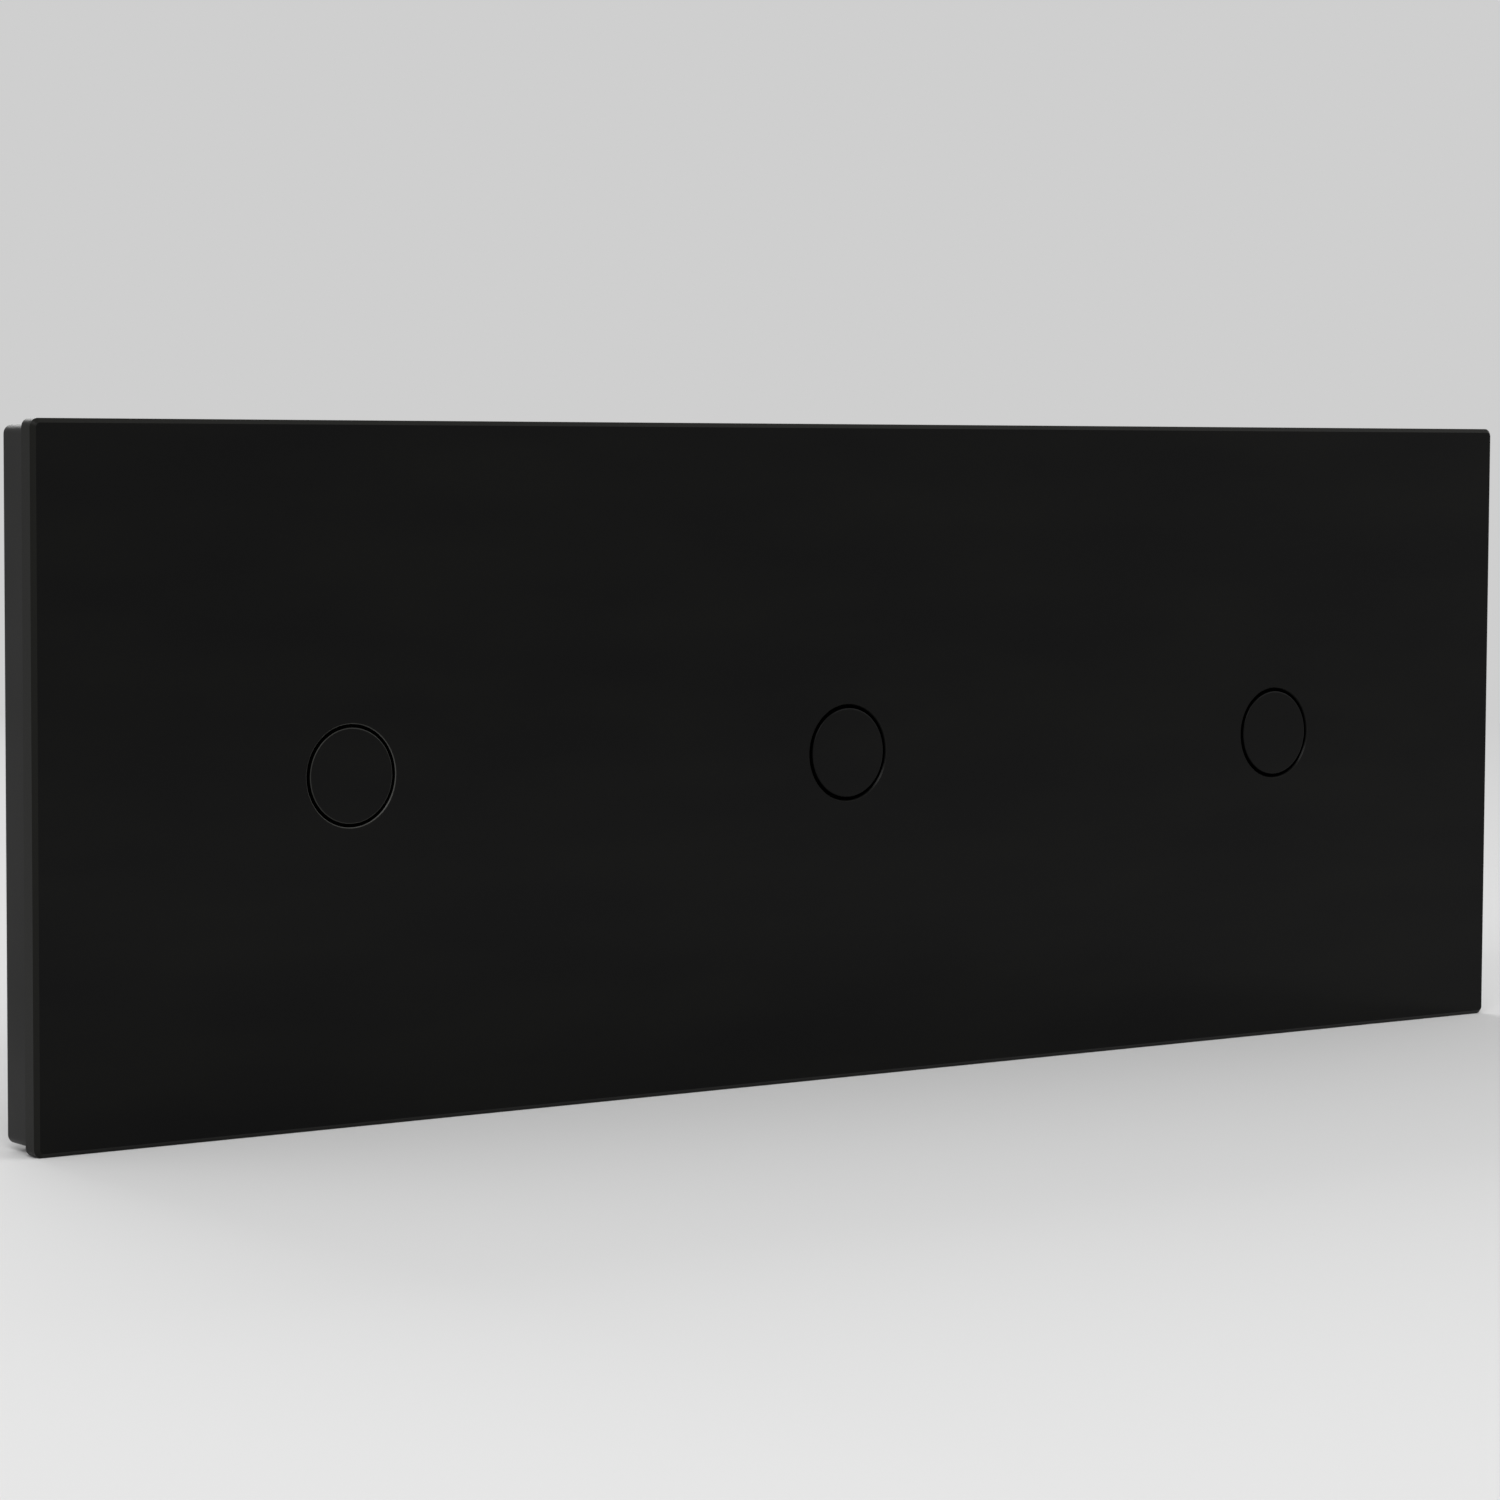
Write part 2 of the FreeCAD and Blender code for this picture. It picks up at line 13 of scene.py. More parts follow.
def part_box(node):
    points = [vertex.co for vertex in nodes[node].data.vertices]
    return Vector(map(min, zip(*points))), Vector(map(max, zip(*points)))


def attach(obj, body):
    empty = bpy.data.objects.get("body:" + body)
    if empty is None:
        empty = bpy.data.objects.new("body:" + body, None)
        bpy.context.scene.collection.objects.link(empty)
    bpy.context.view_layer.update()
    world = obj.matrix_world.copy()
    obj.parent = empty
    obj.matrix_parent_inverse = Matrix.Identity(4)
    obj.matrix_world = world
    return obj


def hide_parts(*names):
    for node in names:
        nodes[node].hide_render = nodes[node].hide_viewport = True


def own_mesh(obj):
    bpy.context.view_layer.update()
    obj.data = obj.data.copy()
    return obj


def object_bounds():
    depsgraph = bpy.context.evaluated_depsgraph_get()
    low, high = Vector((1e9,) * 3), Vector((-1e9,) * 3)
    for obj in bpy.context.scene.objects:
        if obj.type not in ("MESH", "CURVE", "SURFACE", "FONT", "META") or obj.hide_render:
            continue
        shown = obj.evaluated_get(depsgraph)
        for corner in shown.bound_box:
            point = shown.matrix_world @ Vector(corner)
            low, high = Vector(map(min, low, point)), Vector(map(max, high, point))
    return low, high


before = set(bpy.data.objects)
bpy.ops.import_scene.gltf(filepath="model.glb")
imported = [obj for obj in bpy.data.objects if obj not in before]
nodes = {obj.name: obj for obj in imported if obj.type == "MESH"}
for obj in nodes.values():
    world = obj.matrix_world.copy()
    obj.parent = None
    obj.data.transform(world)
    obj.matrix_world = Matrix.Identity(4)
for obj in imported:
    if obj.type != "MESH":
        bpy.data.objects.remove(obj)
cad_low, cad_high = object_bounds()
gangs = (1, 2, 3)
mm = 0.001

# Camera. It looks from where the photograph was taken: the angles, the distance and the lens come from a
# fit to the panel's outline in it, for a square picture on a sensor 36 mm wide.
camera_yaw = math.radians(-36.736)
camera_pitch = math.radians(3.883)
camera_roll = math.radians(0.268)
camera_distance = 554.357 * mm
camera_target = np.array([-8.85, 0.0, 0.165]) * mm
camera_sensor_mm = 36.0
camera_lens_mm = 108.70
camera_clip = (0.02, 30.0)

level = math.cos(camera_pitch)
camera_back = np.array([math.sin(camera_yaw) * level, -math.cos(camera_yaw) * level, math.sin(camera_pitch)])
flat_right = np.array([math.cos(camera_yaw), math.sin(camera_yaw), 0.0])
flat_up = np.cross(camera_back, flat_right)
camera_right = math.cos(camera_roll) * flat_right + math.sin(camera_roll) * flat_up
camera_up = math.cos(camera_roll) * flat_up - math.sin(camera_roll) * flat_right
camera_place = camera_target + camera_distance * camera_back
camera_matrix = np.eye(4)
camera_matrix[:3, 0] = camera_right
camera_matrix[:3, 1] = camera_up
camera_matrix[:3, 2] = camera_back
camera_matrix[:3, 3] = camera_place
camera_data = bpy.data.cameras.new("camera")
camera_data.sensor_width = camera_sensor_mm
camera_data.lens = camera_lens_mm
camera_data.clip_start, camera_data.clip_end = camera_clip
camera = bpy.data.objects.new("camera", camera_data)
camera.matrix_world = Matrix(camera_matrix.tolist())
bpy.context.scene.collection.objects.link(camera)
bpy.context.scene.camera = camera

# Glass panel. Float glass 3 mm thick, cut, drilled, edge-ground and toughened, with a black enamel fired on
# its rear face, and taped to the frame. Its faces are fire-polished, and its ground edges and chamfers are
# satin and a shade lighter. The walls of the drilled holes are coloured near-black: painted shade in the
# gaps.
enamel_hex = "0b0b0b"
enamel_worn_hex = "0e0e0d"
ground_edge_hex = "191917"
# Each gap round a button reads as a black line: its walls, and the arris at the middle and right buttons, are
# coloured near-black, painted shade. Only at the left button do the hole's arris and the cap's edge have thin
# light rims: painted highlights, in lighter colours. In the photograph only the left one has thin light rims,
# so the colours there are lighter on the hole's arris and on the cap's edge. What makes them isn't known.
painted_arris_highlight_hex = "484846"
arris_reach_mm = 5.94
# Near-black for the walls and arris inside each gap: painted shade.
painted_gap_shade_hex = "010101"
painted_hole_shade_reach_mm = 5.86
facing_front = -0.99
facing_chamfer = -0.90
glass_ior = 1.5
# Real glass has a specular level of 0.5. It is set low on purpose: with 0.5 the glass would mirror the pale
# stage and turn dark grey, and the photograph is cut out on black.
glass_specular = 0.08
glass_roughness = (0.035, 0.075)
ground_roughness = 0.34
wipe_mm = (34.0, 9.0, 9.0)
# The real grit of the ground edges is too fine to show, so it is drawn as coarse as it needs to show.
grit_mm = 0.35
grit_depth_mm = 0.004
noise_calm = 0.35
noise_full = 0.65
# The colour sockets of a mix node, which Blender tells apart by number only.
mix_from, mix_to, mix_result = 6, 7, 2
byte_full = 255
srgb_knee, srgb_slope, srgb_offset, srgb_power = 0.04045, 12.92, 0.055, 2.4


def linear(colour_hex):
    """Turns an sRGB hex colour to linear red, green, blue and alpha, by the sRGB curve."""
    parts = np.array([int(colour_hex[k:k + 2], 16) for k in (0, 2, 4)]) / byte_full
    bent = ((parts + srgb_offset) / (1 + srgb_offset)) ** srgb_power
    return (*np.where(parts <= srgb_knee, parts / srgb_slope, bent), 1.0)


def add(tree, kind, links=None, **settings):
    """Adds a node: settings are its own fields, and links its inputs, each a value or an output."""
    made = tree.nodes.new(kind)
    for field, value in settings.items():
        setattr(made, field, value)
    for socket, value in (links or {}).items():
        if isinstance(value, bpy.types.NodeSocket):
            tree.links.new(value, made.inputs[socket])
        else:
            made.inputs[socket].default_value = value
    return made


def blank_material(name):
    """An empty node material, its tree and its object coordinates."""
    material = bpy.data.materials.new(name)
    material.use_nodes = True
    tree = material.node_tree
    tree.nodes.clear()
    return material, tree, add(tree, "ShaderNodeTexCoord").outputs["Object"]


def polished_black(name, roughness, edge_hex, bands):
    """Black gloss on the faces that look forwards, and satin colours on all others.

    Wiping marks shift the gloss a little. The satin faces have edge_hex far from the buttons. Round each
    button's axis they have bands inside one another, from the outside in: each is a reach in mm, its colour
    at the left button and its colour at the others.
    """
    material, tree, place = blank_material(name)
    normal = add(tree, "ShaderNodeNewGeometry").outputs["True Normal"]
    facing = add(tree, "ShaderNodeSeparateXYZ", {"Vector": normal}).outputs["Y"]
    turning = {"Value": facing, "From Min": facing_front, "From Max": facing_chamfer}
    ground = add(tree, "ShaderNodeMapRange", turning).outputs["Result"]
    along, _, above = add(tree, "ShaderNodeSeparateXYZ", {"Vector": place}).outputs
    gang_span = {0: along, 1: gang_pitch / 2, 2: -gang_pitch / 2}
    from_gang = add(tree, "ShaderNodeMath", gang_span, operation="WRAP").outputs["Value"]
    from_axis = add(tree, "ShaderNodeCombineXYZ", {"X": from_gang, "Z": above}).outputs["Vector"]
    radius = add(tree, "ShaderNodeVectorMath", {0: from_axis}, operation="LENGTH").outputs["Value"]
    first_gang_end = {0: along, 1: -gang_pitch / 2}
    at_left = add(tree, "ShaderNodeMath", first_gang_end, operation="LESS_THAN").outputs["Value"]
    satin_and_painted_rims = linear(edge_hex)
    # The bands, as given for the glass and the caps, are painted highlights and painted shade round the
    # buttons.
    for reach_mm, left_hex, other_hex in bands:
        reach = {0: radius, 1: reach_mm * mm}
        inside = add(tree, "ShaderNodeMath", reach, operation="LESS_THAN").outputs["Value"]
        band = {0: at_left, mix_from: linear(other_hex), mix_to: linear(left_hex)}
        band = add(tree, "ShaderNodeMix", band, data_type="RGBA").outputs[mix_result]
        layers = {0: inside, mix_from: satin_and_painted_rims, mix_to: band}
        satin_and_painted_rims = add(tree, "ShaderNodeMix", layers, data_type="RGBA").outputs[mix_result]
    spread = {"Vector": place, "Scale": [1 / (size_mm * mm) for size_mm in wipe_mm]}
    wipes = add(tree, "ShaderNodeMapping", spread).outputs["Vector"]
    wipes = add(tree, "ShaderNodeTexNoise", {"Vector": wipes, "Scale": 1.0}).outputs["Fac"]
    grit = add(tree, "ShaderNodeTexNoise", {"Vector": place, "Scale": 1 / (grit_mm * mm)}).outputs["Fac"]
    wiped = {"Value": wipes, "From Min": noise_calm, "From Max": noise_full}
    worn = add(tree, "ShaderNodeMapRange", wiped).outputs["Result"]
    gloss = {0: worn, mix_from: linear(enamel_hex), mix_to: linear(enamel_worn_hex)}
    gloss = add(tree, "ShaderNodeMix", gloss, data_type="RGBA").outputs[mix_result]
    colours = {0: ground, mix_from: gloss, mix_to: satin_and_painted_rims}
    wiped = {**wiped, "To Min": roughness[0], "To Max": roughness[1]}
    polish = add(tree, "ShaderNodeMapRange", wiped).outputs["Result"]
    polish = add(tree, "ShaderNodeMix", {"Factor": ground, "A": polish, "B": ground_roughness})
    height = add(tree, "ShaderNodeMath", {0: grit, 1: ground}, operation="MULTIPLY").outputs["Value"]
    lifted = add(tree, "ShaderNodeBump", {"Height": height, "Distance": grit_depth_mm * mm})
    links = {
        "Base Color": add(tree, "ShaderNodeMix", colours, data_type="RGBA").outputs[mix_result],
        "Roughness": polish.outputs["Result"],
        "IOR": glass_ior,
        "Specular IOR Level": glass_specular,
        "Normal": lifted.outputs["Normal"],
    }
    shader = add(tree, "ShaderNodeBsdfPrincipled", links)
    add(tree, "ShaderNodeOutputMaterial", {"Surface": shader.outputs["BSDF"]})
    return material


def dress(node, material):
    """Gives a CAD node one material."""
    slots = nodes[node].material_slots
    if not slots:
        nodes[node].data.materials.append(material)
    for slot in slots:
        slot.material = material


gang_places = [sum(corner[0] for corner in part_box(f"button_cap_{gang}")) / 2 for gang in gangs]
gang_pitch = gang_places[1] - gang_places[0]
hole_bands = (
    (arris_reach_mm, painted_arris_highlight_hex, painted_gap_shade_hex),
    (painted_hole_shade_reach_mm, painted_gap_shade_hex, painted_gap_shade_hex),
)
glass = polished_black("enamelled_toughened_glass", glass_roughness, ground_edge_hex, hole_bands)
dress("glass_panel", glass)

# Button caps. Each is a disc of black moulded acrylic, polished like the glass round it and flush with it,
# with a square socket behind for the plunger. Its edge is turned round and left satin. The left cap's edge is
# coloured a shade lighter, a painted highlight, and each cap's side in the gap is near-black, painted shade.
# A lighter colour on the left cap's edge only: a painted highlight.
painted_cap_edge_highlight_hex = "333331"
turned_edge_reach_mm = 5.43
cap_roughness = (0.045, 0.075)
cap_radius_mm = 5.45
cap_edge_mm = 0.15
cap_flat_margin_mm = 0.06
cap_socket_mm = 3.05
cap_socket_depth_mm = 1.0
points_around = 192
cap_edge_rows = 9
smooth_below = math.radians(30)


def surface(name, grid, around=False, closed_ends=()):
    """A mesh of quads between the neighbours of a grid of points, shaded smooth between sharp edges.

    around joins the last column to the first, and closed_ends names the rows (0 or -1) that get a face.
    """
    rows, columns = grid.shape[:2]
    index = np.arange(rows * columns).reshape(rows, columns)
    after = np.roll(index, -1, axis=1) if around else index[:, 1:]
    before = index if around else index[:, :-1]
    faces = np.stack([before[:-1], after[:-1], after[1:], before[1:]], axis=-1).reshape(-1, 4).tolist()
    faces += [index[end][::-1].tolist() if end == 0 else index[end].tolist() for end in closed_ends]
    mesh = bpy.data.meshes.new(name)
    mesh.from_pydata(grid.reshape(-1, 3).tolist(), [], faces)
    mesh.shade_smooth()
    mesh.set_sharp_from_angle(angle=smooth_below)
    return mesh


def outwards(mesh):
    """Turns the faces of a closed mesh outwards."""
    shape = bmesh.new()
    shape.from_mesh(mesh)
    bmesh.ops.recalc_face_normals(shape, faces=shape.faces)
    shape.to_mesh(mesh)
    shape.free()
    return mesh


def revolved(name, radii, levels, squares=()):
    """A closed surface round the Y axis: row k is a circle of radius radii[k] at level levels[k].

    The rows named in squares are squares instead: their radius is the half side over the larger of
    |cos| and |sin| of the angle.
    """
    angles = np.linspace(0, 2 * math.pi, points_around, endpoint=False)
    across = np.stack([np.cos(angles), np.sin(angles)])
    reach = np.repeat(np.asarray(radii)[:, None], points_around, axis=1)
    reach[list(squares)] /= np.abs(across).max(axis=0)
    rows = np.asarray(levels)[:, None] + 0 * reach
    grid = np.stack([reach * across[0], rows, reach * across[1]], axis=-1)
    return outwards(surface(name, grid, around=True, closed_ends=(0, -1)))


def place_piece(name, mesh, body, replaced, gang_place=0.0):
    """Puts a mesh made on the middle axis at its gang, with its place in its mesh, in place of CAD nodes."""
    mesh.transform(Matrix.Translation((gang_place, 0.0, 0.0)))
    piece = bpy.data.objects.new(name, mesh)
    bpy.context.scene.collection.objects.link(piece)
    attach(piece, body)
    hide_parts(*replaced)
    return piece


cap_front, cap_rear = (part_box("button_cap_1")[corner][1] for corner in (0, 1))
turn = np.linspace(0, math.pi / 2, cap_edge_rows)
edge_radii = (cap_radius_mm - cap_edge_mm * (1 - np.sin(turn))) * mm
edge_levels = cap_front + cap_edge_mm * (1 - np.cos(turn)) * mm
flat_radius = edge_radii[0] - cap_flat_margin_mm * mm
socket_half = cap_socket_mm * mm
socket_floor = cap_rear - cap_socket_depth_mm * mm
cap_radii = [flat_radius, *edge_radii, cap_radius_mm * mm, socket_half, socket_half]
cap_levels = [cap_front, *edge_levels, cap_rear, cap_rear, socket_floor]
socket_rows = (cap_edge_rows + 2, cap_edge_rows + 3)

cap_bands = ((turned_edge_reach_mm, painted_cap_edge_highlight_hex, enamel_hex),)
acrylic = polished_black("polished_black_acrylic", cap_roughness, painted_gap_shade_hex, cap_bands)
for gang, gang_place in zip(gangs, gang_places):
    cap = revolved(f"polished_cap_{gang}", cap_radii, cap_levels, socket_rows)
    cap.materials.append(acrylic)
    replaced = [f"button_cap_{gang}"]
    place_piece(f"polished_cap_{gang}", cap, f"button_{gang}", replaced, gang_place)

# Panel frame. Moulded from black ABS, its outside spark-eroded to a fine satin grain. Every edge that the
# mould tool leaves is slightly round, so it shows as a thin light line. Its shine is set low, like that of
# the glass.
abs_colours = ("161615", "1a1a19")
abs_specular = 0.15
abs_roughness = (0.40, 0.52)
abs_flow_mm = (26.0, 26.0, 26.0)
# The real grain is too fine to show, so it is drawn as coarse as it needs to show.
abs_grain_mm = (0.22, 0.22, 0.22)
abs_grain_depth_mm = 0.006
frame_ease_mm = 0.12
merge_distance = 1e-7
flat_below = math.radians(0.5)
ease_above = math.radians(35)
ease_segments = 2


def eased_copy(name, node, body, material, ease_mm):
    """Replaces a CAD solid by a copy, its triangles joined into faces and its sharp edges rounded."""
    mesh = nodes[node].data.copy()
    mesh.name = name
    mesh.materials.clear()
    mesh.materials.append(material)
    shape = bmesh.new()
    shape.from_mesh(mesh)
    bmesh.ops.remove_doubles(shape, verts=shape.verts, dist=merge_distance)
    bmesh.ops.dissolve_limit(shape, angle_limit=flat_below, verts=shape.verts, edges=shape.edges)
    shape.to_mesh(mesh)
    shape.free()
    mesh.shade_smooth()
    mesh.set_sharp_from_angle(angle=smooth_below)
    piece = place_piece(name, mesh, body, [node])
    bevel = piece.modifiers.new("eased edges", "BEVEL")
    bevel.width = ease_mm * mm
    bevel.segments = ease_segments
    bevel.limit_method = "ANGLE"
    bevel.angle_limit = ease_above
    bevel.harden_normals = True


def textured(name, colours, roughness, cloud_mm, relief_mm=None, depth_mm=0.0, **constants):
    """A material whose colour and roughness drift between two values each, and whose surface has a relief.

    Both follow noises on object coordinates, whose spots have the given sizes along X, Y and Z. The relief
    is depth_mm high. The constants are the shader's own, with _ for each space in their names.
    """
    material, tree, place = blank_material(name)
    spread = {"Vector": place, "Scale": [1 / (size_mm * mm) for size_mm in cloud_mm]}
    clouds = add(tree, "ShaderNodeMapping", spread).outputs["Vector"]
    clouds = add(tree, "ShaderNodeTexNoise", {"Vector": clouds, "Scale": 1.0}).outputs["Fac"]
    drift = {"Value": clouds, "From Min": noise_calm, "From Max": noise_full}
    share = add(tree, "ShaderNodeMapRange", drift).outputs["Result"]
    ends = {0: share, mix_from: linear(colours[0]), mix_to: linear(colours[1])}
    drift = {**drift, "To Min": roughness[0], "To Max": roughness[1]}
    links = {constant.replace("_", " "): value for constant, value in constants.items()}
    links["Base Color"] = add(tree, "ShaderNodeMix", ends, data_type="RGBA").outputs[mix_result]
    links["Roughness"] = add(tree, "ShaderNodeMapRange", drift).outputs["Result"]
    if relief_mm:
        spread = {"Vector": place, "Scale": [1 / (size_mm * mm) for size_mm in relief_mm]}
        relief = add(tree, "ShaderNodeMapping", spread).outputs["Vector"]
        relief = add(tree, "ShaderNodeTexNoise", {"Vector": relief, "Scale": 1.0}).outputs["Fac"]
        lifted = add(tree, "ShaderNodeBump", {"Height": relief, "Distance": depth_mm * mm})
        links["Normal"] = lifted.outputs["Normal"]
    shader = add(tree, "ShaderNodeBsdfPrincipled", links)
    add(tree, "ShaderNodeOutputMaterial", {"Surface": shader.outputs["BSDF"]})
    return material


moulded_abs = textured(
    "spark_eroded_black_abs",
    abs_colours,
    abs_roughness,
    abs_flow_mm,
    abs_grain_mm,
    abs_grain_depth_mm,
    Specular_IOR_Level=abs_specular,
)
eased_copy("frame_moulding", "panel_frame", "housing", moulded_abs, frame_ease_mm)

# Tape. Die-cut black acrylic foam, sticky on both sides, with a window for each insert. It holds the glass in
# the frame's pocket, and its cut edge is dull.
foam_colours = ("1c1c1c", "262626")
foam_roughness = (0.80, 0.88)
foam_cell_mm = (0.3, 0.3, 0.3)
foam_cell_depth_mm = 0.03
foam_surface = (foam_roughness, foam_cell_mm, foam_cell_mm, foam_cell_depth_mm)
foam = textured("black_foam_tape", foam_colours, *foam_surface)
dress("glass_adhesive", foam)

# Yokes. Blanked from 1.2 mm steel sheet and zinc plated: a pale bluish grey with soft cloudy spangle, fine
# rolling lines along the sheet, and a rounded edge where the punch went in.
zinc_colours = ("b8bcbd", "c1c4c4")
zinc_roughness = (0.31, 0.37)
spangle_mm = (4.0, 4.0, 4.0)
# The real rolling lines are too fine to show, so they are drawn as coarse as they need to show.
rolling_mm = (30.0, 0.25, 0.25)
rolling_depth_mm = 0.003
yoke_ease_mm = 0.15
zinc = textured(
    "zinc_plated_sheet_steel",
    zinc_colours,
    zinc_roughness,
    spangle_mm,
    rolling_mm,
    rolling_depth_mm,
    Metallic=1.0,
)
for gang in gangs:
    eased_copy(f"yoke_pressing_{gang}", f"yoke_{gang}", "housing", zinc, yoke_ease_mm)

# Insert mouldings. The base behind the yoke is moulded from light grey polycarbonate, satin, with faint flow
# marks and the tool's fine grain. The cover in front of it is black, so that nothing pale shows in the gaps.
shell_colours = ("c4c6c3", "cccdca")
cover_colours = ("0e0e0e", "121211")
shell_roughness = (0.36, 0.48)
shell_flow_mm = (18.0, 18.0, 18.0)
# The real grain is too fine to show, so it is drawn as coarse as it needs to show.
shell_grain_mm = (0.3, 0.3, 0.3)
shell_grain_depth_mm = 0.004
shell_ease_mm = 0.2
shell_surface = (shell_roughness, shell_flow_mm, shell_grain_mm, shell_grain_depth_mm)
polycarbonate = textured("satin_grey_polycarbonate", shell_colours, *shell_surface)
black_polycarbonate = textured(
    "satin_black_polycarbonate", cover_colours, *shell_surface, Specular_IOR_Level=abs_specular
)
for gang in gangs:
    for moulding, plastic in (("cover", black_polycarbonate), ("base", polycarbonate)):
        name = f"{moulding}_moulding_{gang}"
        slot = f"insert_{moulding}"
        eased_copy(name, f"{slot}_{gang}", "housing", plastic, shell_ease_mm)

# Guides and plungers. Both are moulded from natural white acetal, which is slightly waxy and lets a little
# light in.
acetal_colours = ("e1dfd7", "dddbd2")
acetal_roughness = (0.28, 0.34)
acetal_flow_mm = (9.0, 9.0, 9.0)
acetal_glow = 0.15
acetal_glow_depth_mm = (2.0, 1.8, 1.5)
acetal_ease_mm = 0.15
acetal = textured(
    "natural_acetal",
    acetal_colours,
    acetal_roughness,
    acetal_flow_mm,
    Subsurface_Weight=acetal_glow,
    Subsurface_Radius=[depth_mm * mm for depth_mm in acetal_glow_depth_mm],
)
for gang in gangs:
    for part, body in (("guide_carriage", "housing"), ("plunger", f"button_{gang}")):
        slot = f"{part.split('_')[0]}_acetal"
        eased_copy(f"{part}_moulding_{gang}", f"{part}_{gang}", body, acetal, acetal_ease_mm)

# Return springs. Each is wound from 0.5 mm round spring wire with closed end coils, and stands between the
# plunger's collar and the guide. It shortens as the button goes in.
spring_colours = ("8f9092", "77787a")
spring_roughness = (0.28, 0.32)
spring_wire_mm = 0.5
spring_coils = 4.5
spring_end_coils = 0.75
spring_points = 48
spring_sides = 12
wire_line_mm = (0.12, 0.5, 0.12)


def coil(name, radius, wire, start, end):
    """Round wire along a helix round the Y axis.

    The centre line is (r cos t, y(t), r sin t). Its end coils rise by one wire thickness a turn, and the
    coils between share the rest evenly. Each section is a circle in the plane of the radius and the
    direction across the wire.
    """
    total = spring_coils + 2 * spring_end_coils
    turns = np.linspace(0, total, int(total * spring_points) + 1)
    span = end - start - wire
    closed = wire * spring_end_coils
    knots = [0, spring_end_coils, total - spring_end_coils, total]
    rise = start + wire / 2 + np.interp(turns, knots, [0, closed, span - closed, span])
    t = 2 * math.pi * turns
    out = np.stack([np.cos(t), 0 * t, np.sin(t)], axis=-1)
    line = radius * out + np.stack([0 * t, rise, 0 * t], axis=-1)
    along = np.gradient(line, axis=0)
    along /= np.linalg.norm(along, axis=1, keepdims=True)
    across = np.cross(along, out)
    around = np.linspace(0, 2 * math.pi, spring_sides, endpoint=False)[None, :, None]
    ring = np.cos(around) * out[:, None] + np.sin(around) * across[:, None]
    return outwards(surface(name, line[:, None] + wire / 2 * ring, around=True, closed_ends=(0, -1)))


spring_steel = textured("drawn_spring_steel", spring_colours, spring_roughness, wire_line_mm, Metallic=1.0)
wire = spring_wire_mm * mm
for gang, gang_place in zip(gangs, gang_places):
    low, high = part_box(f"return_spring_{gang}")
    spring = coil(f"wound_spring_{gang}", (high[0] - low[0] - wire) / 2, wire, low[1], high[1])
    spring.materials.append(spring_steel)
    replaced = [f"return_spring_{gang}"]
    spring = place_piece(f"wound_spring_{gang}", spring, "housing", replaced, gang_place)
    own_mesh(spring)

# Contact leaves. Each is a strip of phosphor bronze pressed to a flat arch, warm brown and bright. Its crown
# lies on the plunger and its feet stand on the bridge, and it gives way over the last of the travel.
bronze_colours = ("b9814f", "c99563")
bronze_roughness = (0.22, 0.34)
bronze_cloud_mm = (2.0, 2.0, 2.0)
leaf_sheet_mm = 0.3
leaf_window_mm = 2.9
leaf_crown_mm = 5.2
leaf_foot_mm = 14.0
leaf_steps = 32
leaf_sheet_side = -1


def pressed_leaf(name, low, high):
    """The front face of a strip bent to an arch over z, with a square window for the stem.

    Its level goes from the crown to the feet by 3s^2 - 2s^3, where s is the share of the way out from the
    crown's end to the foot's start.
    """
    window = leaf_window_mm * mm / 2
    half_width = (high[0] - low[0]) / 2
    outwards_from_window = np.linspace(window, high[2], leaf_steps)
    reach = np.concatenate([-outwards_from_window[::-1], outwards_from_window])
    crown, foot = leaf_crown_mm * mm / 2, leaf_foot_mm * mm / 2
    s = np.clip((np.abs(reach) - crown) / (foot - crown), 0, 1)
    level = low[1] + (high[1] - low[1] - leaf_sheet_mm * mm) * (3 * s ** 2 - 2 * s ** 3)
    across = np.array([-half_width, -window, window, half_width])
    grid = np.stack(np.broadcast_arrays(across[None, :], level[:, None], reach[:, None]), axis=-1)
    mesh = surface(name, grid)
    shape = bmesh.new()
    shape.from_mesh(mesh)
    in_window = [face for face in shape.faces if face.calc_center_median().xz.length < merge_distance]
    bmesh.ops.delete(shape, geom=in_window, context="FACES_ONLY")
    shape.to_mesh(mesh)
    shape.free()
    return mesh


bronze = textured("phosphor_bronze_strip", bronze_colours, bronze_roughness, bronze_cloud_mm, Metallic=1.0)
for gang, gang_place in zip(gangs, gang_places):
    low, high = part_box(f"contact_spring_{gang}")
    leaf = pressed_leaf(f"bronze_leaf_{gang}", low, high)
    leaf.materials.append(bronze)
    replaced = [f"contact_spring_{gang}"]
    leaf = place_piece(f"bronze_leaf_{gang}", leaf, f"button_{gang}", replaced, gang_place)
    sheet = leaf.modifiers.new("sheet", "SOLIDIFY")
    sheet.thickness = leaf_sheet_mm * mm
    sheet.offset = leaf_sheet_side
    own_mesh(leaf)

# Contact bridges and fixed contacts. The bridge is pressed copper, the strips are pressed brass, and each
# carries welded silver tips, which are paler and slightly matt.
copper_colours = ("be7551", "c67f5a")
brass_colours = ("cfab62", "d6b46c")
silver_hex = "d6d5d0"
contact_roughness = (0.24, 0.38)
contact_cloud_mm = (1.5, 1.5, 1.5)
tip_edge_mm = 0.02
strip_ease_mm = 0.08


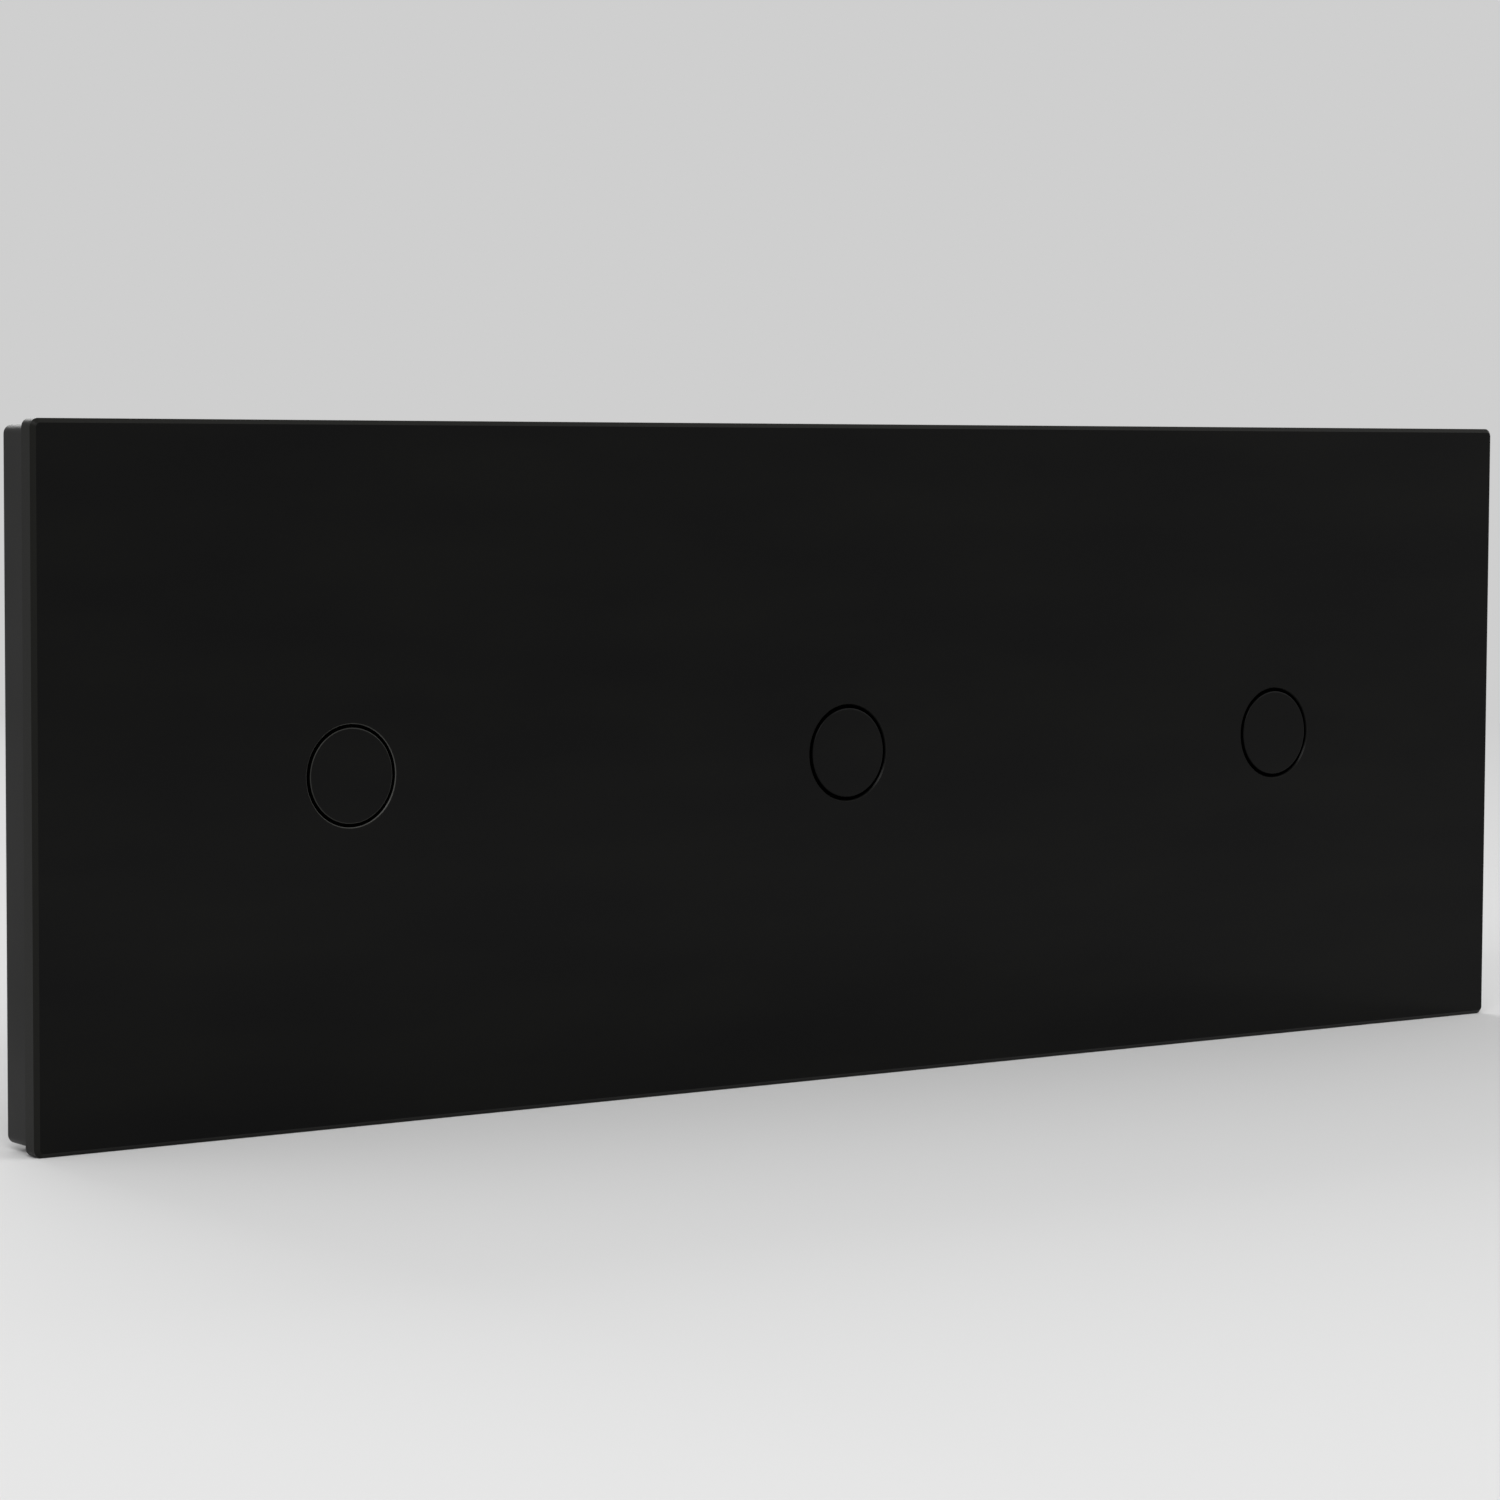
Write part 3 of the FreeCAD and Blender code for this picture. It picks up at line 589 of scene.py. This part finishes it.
def tipped(name, colours, tip_level, tip_side):
    """A pressed metal whose tips are silver: the points beyond a level along Y, on the side of 1 or -1."""
    material = textured(name, colours, contact_roughness, contact_cloud_mm, Metallic=1.0)
    tree = material.node_tree
    shader = tree.nodes["Principled BSDF"]
    metal = shader.inputs["Base Color"].links[0].from_socket
    place = tree.nodes["Texture Coordinate"].outputs["Object"]
    depth = add(tree, "ShaderNodeSeparateXYZ", {"Vector": place}).outputs["Y"]
    tip_end = tip_level + tip_side * tip_edge_mm * mm
    tip = add(tree, "ShaderNodeMapRange", {"Value": depth, "From Min": tip_level, "From Max": tip_end})
    layers = {0: tip.outputs["Result"], mix_from: metal, mix_to: linear(silver_hex)}
    coloured = add(tree, "ShaderNodeMix", layers, data_type="RGBA").outputs[mix_result]
    tree.links.new(coloured, shader.inputs["Base Color"])
    return material


bridge_thickness_mm = 0.8
strip_thickness_mm = 0.8
bridge_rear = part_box("contact_bridge_1")[0][1] + bridge_thickness_mm * mm
strip_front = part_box("fixed_contacts")[1][1] - strip_thickness_mm * mm
tipped_copper = tipped("copper_bridge_with_silver_tips", copper_colours, bridge_rear, 1)
tipped_brass = tipped("brass_strip_with_silver_tips", brass_colours, strip_front, -1)
for gang in gangs:
    name = f"copper_bridge_{gang}"
    node = f"contact_bridge_{gang}"
    eased_copy(name, node, f"bridge_{gang}", tipped_copper, strip_ease_mm)
eased_copy("brass_strips", "fixed_contacts", "housing", tipped_brass, strip_ease_mm)

# Stem clips. Each is blanked from blued spring steel, dark and satin, and pushed over the plunger's neck. It
# keeps the bridge on the plunger.
clip_colours = ("4a4e54", "50545a")
clip_roughness = (0.3, 0.42)
clip_cloud_mm = (1.0, 1.0, 1.0)
clip_ease_mm = 0.06
clip_steel = textured("blued_spring_steel", clip_colours, clip_roughness, clip_cloud_mm, Metallic=1.0)
for gang in gangs:
    name = f"blued_clip_{gang}"
    eased_copy(name, f"stem_clip_{gang}", f"button_{gang}", clip_steel, clip_ease_mm)

# Terminal clamps. They are sawn from drawn brass bar and drilled, so they carry fine lines of drawing and
# sawing. The real lines are too fine to show, so they are drawn as coarse as they need to show.
clamp_colours = ("d6b46c", "cfab62")
clamp_roughness = (0.22, 0.30)
saw_line_mm = (12.0, 12.0, 0.12)
saw_line_depth_mm = 0.002
clamp_ease_mm = 0.12
clamp_surface = (clamp_roughness, saw_line_mm, saw_line_mm, saw_line_depth_mm)
drawn_brass = textured("sawn_brass_bar", clamp_colours, *clamp_surface, Metallic=1.0)
eased_copy("drilled_clamps", "terminal_clamps", "housing", drawn_brass, clamp_ease_mm)

# Terminal screws. They are cold-headed steel, slotted and nickel plated, pale and softly bright. Each stands
# in a clamp and is turned from the rear.
screw_colours = ("bcbbb6", "b2b1ac")
screw_roughness = (0.24, 0.34)
screw_cloud_mm = (2.5, 2.5, 2.5)
screw_ease_mm = 0.2
nickel = textured("nickel_plated_steel", screw_colours, screw_roughness, screw_cloud_mm, Metallic=1.0)
eased_copy("slotted_screws", "terminal_screws", "housing", nickel, screw_ease_mm)

# Stage. A pale paper floor that runs into a pale backdrop. Seen straight or in a gloss, the floor turns into
# the backdrop's colour with distance, so that no horizon shows.
floor_hex = "dedede"
backdrop_hex = "cfcfcf"
floor_near = 0.22
floor_far = 0.75
floor_reach = 8.0
sky_hex = "ffffff"
floor_rings = 48
floor_crowding = 3
sky_strength = 0.55
ring_radii = floor_reach * np.linspace(0, 1, floor_rings)[1:, None] ** floor_crowding
ring_angles = np.linspace(0, 2 * math.pi, points_around, endpoint=False)
ring_level = cad_low[2] + 0 * ring_radii * ring_angles
ring_turns = (np.cos(ring_angles), np.sin(ring_angles))
floor_grid = np.stack([ring_radii * ring_turns[0], ring_radii * ring_turns[1], ring_level], axis=-1)


def seen_by_eye(tree):
    """One for what the camera sees straight, mirrored or through something, and zero for lighting."""
    ray = add(tree, "ShaderNodeLightPath").outputs
    kinds = {0: ray["Is Camera Ray"], 1: ray["Is Glossy Ray"]}
    seen = add(tree, "ShaderNodeMath", kinds, operation="MAXIMUM").outputs["Value"]
    kinds = {0: seen, 1: ray["Is Transmission Ray"]}
    return add(tree, "ShaderNodeMath", kinds, operation="MAXIMUM").outputs["Value"]


floor_mesh = surface("floor", floor_grid[::-1], around=True, closed_ends=(-1,))
floor = bpy.data.objects.new("floor", floor_mesh)
bpy.context.scene.collection.objects.link(floor)
paper, tree, place = blank_material("pale_paper")
distance = add(tree, "ShaderNodeVectorMath", {0: place}, operation="LENGTH").outputs["Value"]
fading = {"Value": distance, "From Min": floor_near, "From Max": floor_far}
away = {0: add(tree, "ShaderNodeMapRange", fading).outputs["Result"], 1: seen_by_eye(tree)}
away = add(tree, "ShaderNodeMath", away, operation="MULTIPLY").outputs["Value"]
matt = add(tree, "ShaderNodeBsdfDiffuse", {"Color": linear(floor_hex)})
far = add(tree, "ShaderNodeEmission", {"Color": linear(backdrop_hex)})
blend = add(tree, "ShaderNodeMixShader", {0: away, 1: matt.outputs["BSDF"], 2: far.outputs["Emission"]})
add(tree, "ShaderNodeOutputMaterial", {"Surface": blend.outputs["Shader"]})
floor_mesh.materials.append(paper)

world = bpy.data.worlds.new("studio")
world.use_nodes = True
tree = world.node_tree
tree.nodes.clear()
backdrop = add(tree, "ShaderNodeBackground", {"Color": linear(backdrop_hex), "Strength": 1.0})
sky = add(tree, "ShaderNodeBackground", {"Color": linear(sky_hex), "Strength": sky_strength})
shades = {0: seen_by_eye(tree), 1: sky.outputs["Background"], 2: backdrop.outputs["Background"]}
shown = add(tree, "ShaderNodeMixShader", shades)
add(tree, "ShaderNodeOutputWorld", {"Surface": shown.outputs["Shader"]})
bpy.context.scene.world = world
bpy.context.scene.view_settings.view_transform = "Standard"

# Lamps. Three square soft lights stand round the part and point at it. Each has its place and its side in
# metres and its power in watts.
lamps = {
    "key": ((-0.55, -0.65, 0.75), 0.55, 5.5),
    "fill": ((0.75, -0.70, 0.45), 0.70, 3.0),
    "back": ((0.20, 0.95, 0.55), 0.60, 4.0),
}
for lamp_name, (lamp_place, lamp_side, lamp_power) in lamps.items():
    lamp_data = bpy.data.lights.new(lamp_name, "AREA")
    lamp_data.shape = "SQUARE"
    lamp_data.size = lamp_side
    lamp_data.energy = lamp_power
    lamp = bpy.data.objects.new(lamp_name, lamp_data)
    lamp.location = lamp_place
    lamp.rotation_euler = Vector(lamp_place).to_track_quat("Z", "Y").to_euler()
    bpy.context.scene.collection.objects.link(lamp)
